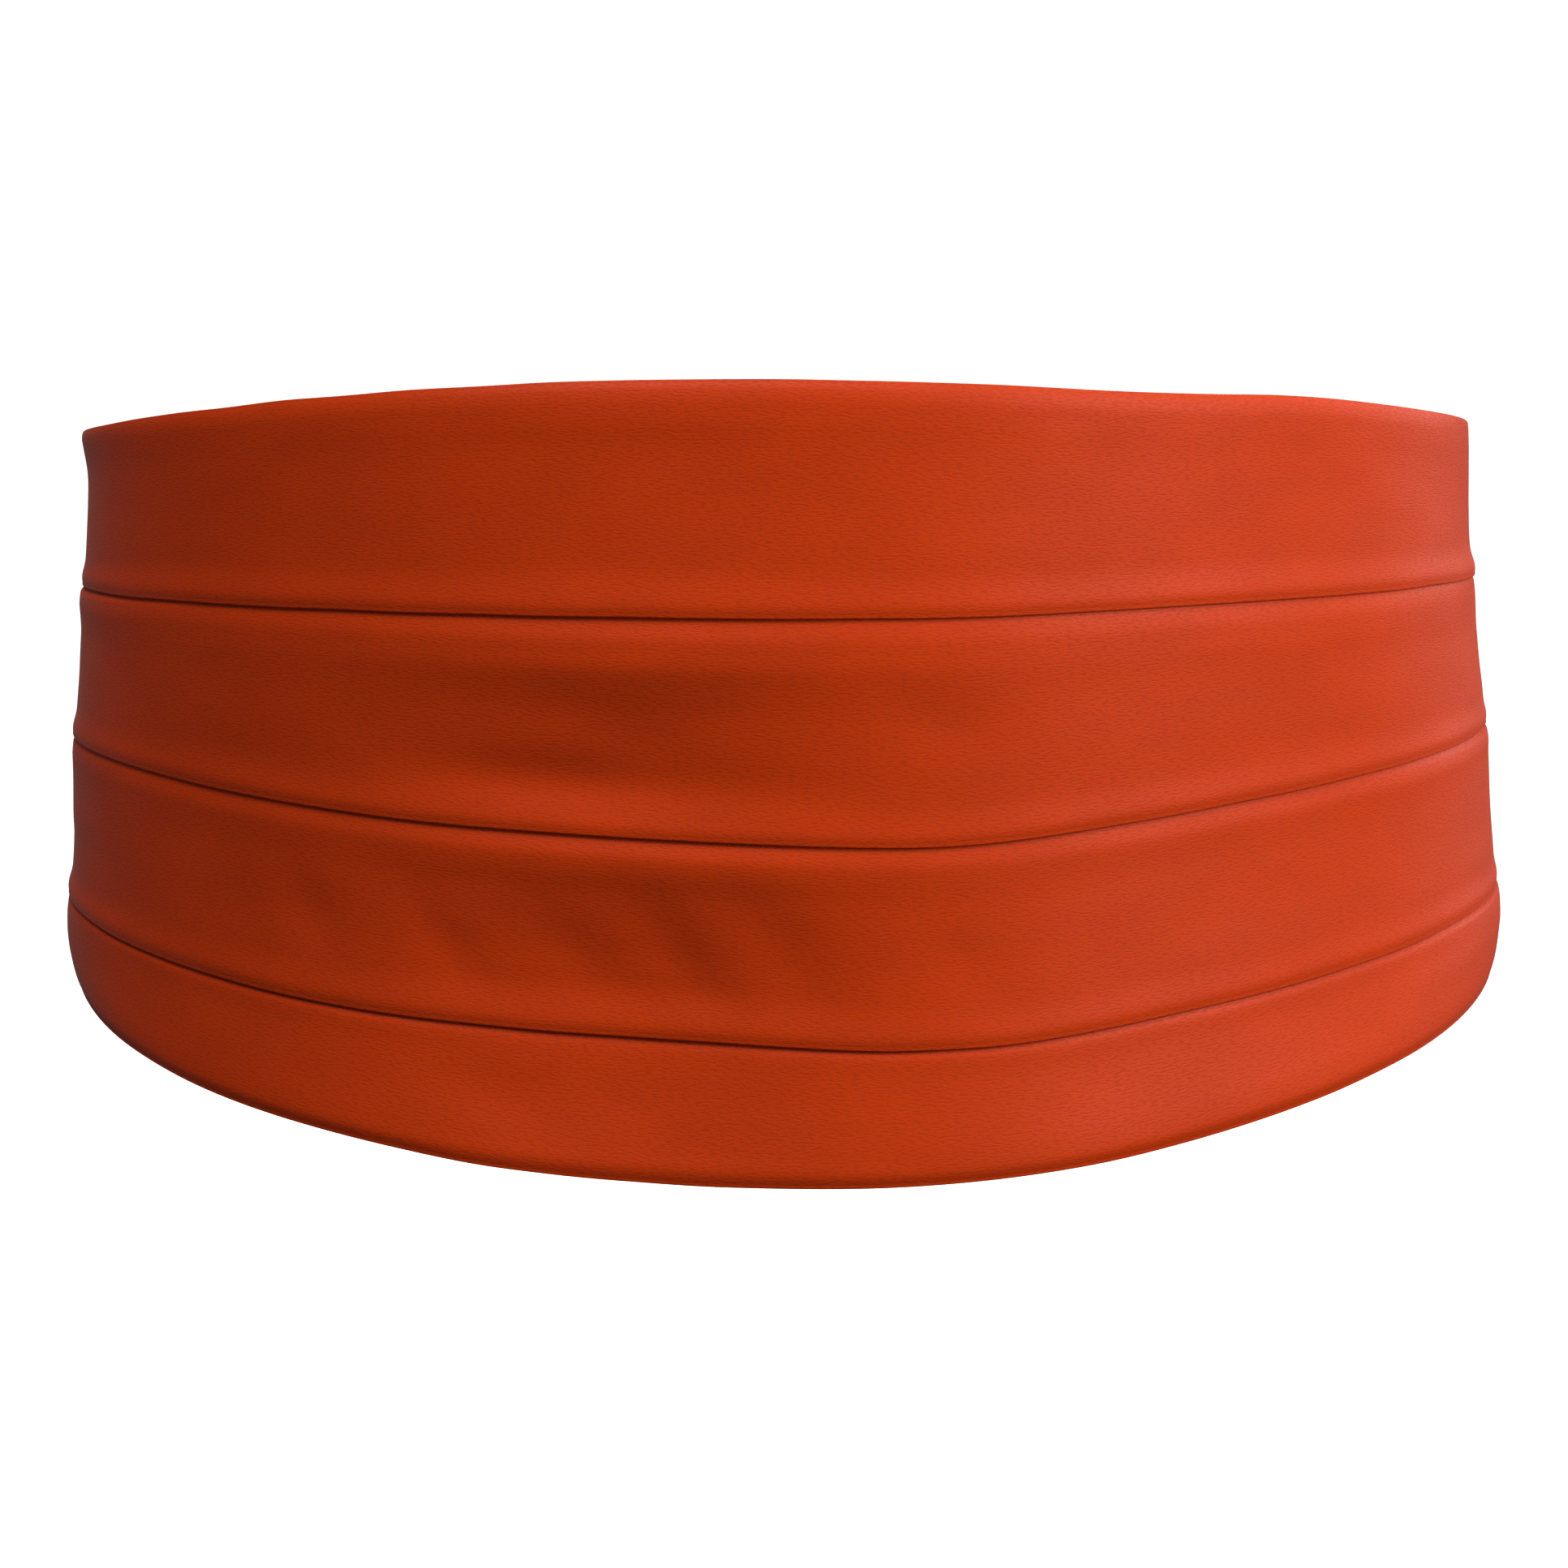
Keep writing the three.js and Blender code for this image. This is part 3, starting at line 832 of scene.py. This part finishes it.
def steel_material():
    """Plain plate brushed along its width."""
    material, tree, shader = new_material("brushed_steel")
    shader.inputs["Metallic"].default_value = 1
    place = tree.nodes.new("ShaderNodeTexCoord")
    brushed = add_noise(tree, place.outputs["Object"], (9 * MM, 9 * MM, 0.12 * MM), 3)
    colour = add_ramp(tree, brushed, ((0.3, (0.62, 0.62, 0.63)), (0.7, (0.78, 0.78, 0.79))))
    tree.links.new(colour, shader.inputs["Base Color"])
    rough = add_ramp(tree, brushed, ((0.3, (0.52,) * 3), (0.7, (0.4,) * 3)))
    tree.links.new(rough, shader.inputs["Roughness"])
    add_bump(tree, shader, brushed, 0.15, 0.05 * MM)
    return material


def add_camera():
    """Camera at the photograph's angle, a little turned about its own axis."""
    data = bpy.data.cameras.new("camera")
    data.sensor_width = SENSOR_WIDTH
    data.lens = SENSOR_WIDTH * PIXELS_PER_METRE * CAMERA_DISTANCE / FRAME_PIXELS
    camera = bpy.data.objects.new("camera", data)
    bpy.context.scene.collection.objects.link(camera)
    tip = math.radians(CAMERA_ELEVATION)
    back = Vector((0, -math.cos(tip), math.sin(tip)))
    turn = Matrix.Rotation(math.radians(-CAMERA_ROLL), 4, back)
    aim = back.to_track_quat("Z", "Y").to_matrix().to_4x4()
    camera.matrix_world = Matrix.Translation(CAMERA_TARGET + back * CAMERA_DISTANCE) @ turn @ aim
    bpy.context.scene.camera = camera


def add_light(name, azimuth, elevation, distance, size, power):
    """Square area light that looks at the object from an azimuth and an elevation."""
    data = bpy.data.lights.new(name, "AREA")
    data.size = size
    data.energy = power
    light = bpy.data.objects.new(name, data)
    bpy.context.scene.collection.objects.link(light)
    turn, tip = math.radians(azimuth), math.radians(elevation)
    away = Vector((math.sin(turn) * math.cos(tip), -math.cos(turn) * math.cos(tip), math.sin(tip)))
    aim = away.to_track_quat("Z", "Y").to_matrix().to_4x4()
    light.matrix_world = Matrix.Translation(away * distance) @ aim


def add_floor():
    """Plain white floor that glows evenly, as a light table does, and lights nothing."""
    mesh = bpy.data.meshes.new("floor")
    corners = [(-1, -1), (1, -1), (1, 1), (-1, 1)]
    points = [(x * FLOOR_REACH, y * FLOOR_REACH, FLOOR_LEVEL) for x, y in corners]
    mesh.from_pydata(points, [], [(0, 1, 2, 3)])
    floor = bpy.data.objects.new("floor", mesh)
    bpy.context.scene.collection.objects.link(floor)
    material, _, shader = new_material("pale_floor")
    shader.inputs["Base Color"].default_value = (0.9, 0.9, 0.9, 1)
    shader.inputs["Roughness"].default_value = 0.9
    shader.inputs["Emission Color"].default_value = (1, 1, 1, 1)
    shader.inputs["Emission Strength"].default_value = 1
    mesh.materials.append(material)
    floor.visible_diffuse = False
    floor.visible_glossy = False


def add_surround():
    """Faint even light from all round."""
    world = bpy.data.worlds.new("surround")
    world.use_nodes = True
    background = world.node_tree.nodes["Background"]
    background.inputs["Color"].default_value = (1, 1, 1, 1)
    background.inputs["Strength"].default_value = SURROUND
    bpy.context.scene.world = world


add_camera()
add_floor()
add_surround()
for light in LIGHTS:
    add_light(**light)
bpy.context.scene.view_settings.view_transform = "Standard"

satin, elastic, steel, thread = (
    satin_material(), elastic_material(), steel_material(), thread_material()
)
seams = [
    stitches("seam_left", seam_rows(1), thread),
    stitches("seam_right", seam_rows(-1), thread),
]
strap_seams = {
    side: stitches(f"strap_seam_{name}", strap_rows(side), thread)
    for side, name in ((1, "left"), (-1, "right"))
}
pleated_cloth(satin)
strap("elastic_left", "strap_left", 1, elastic)
strap("elastic_right", "strap_right", -1, elastic)
clasp(steel)
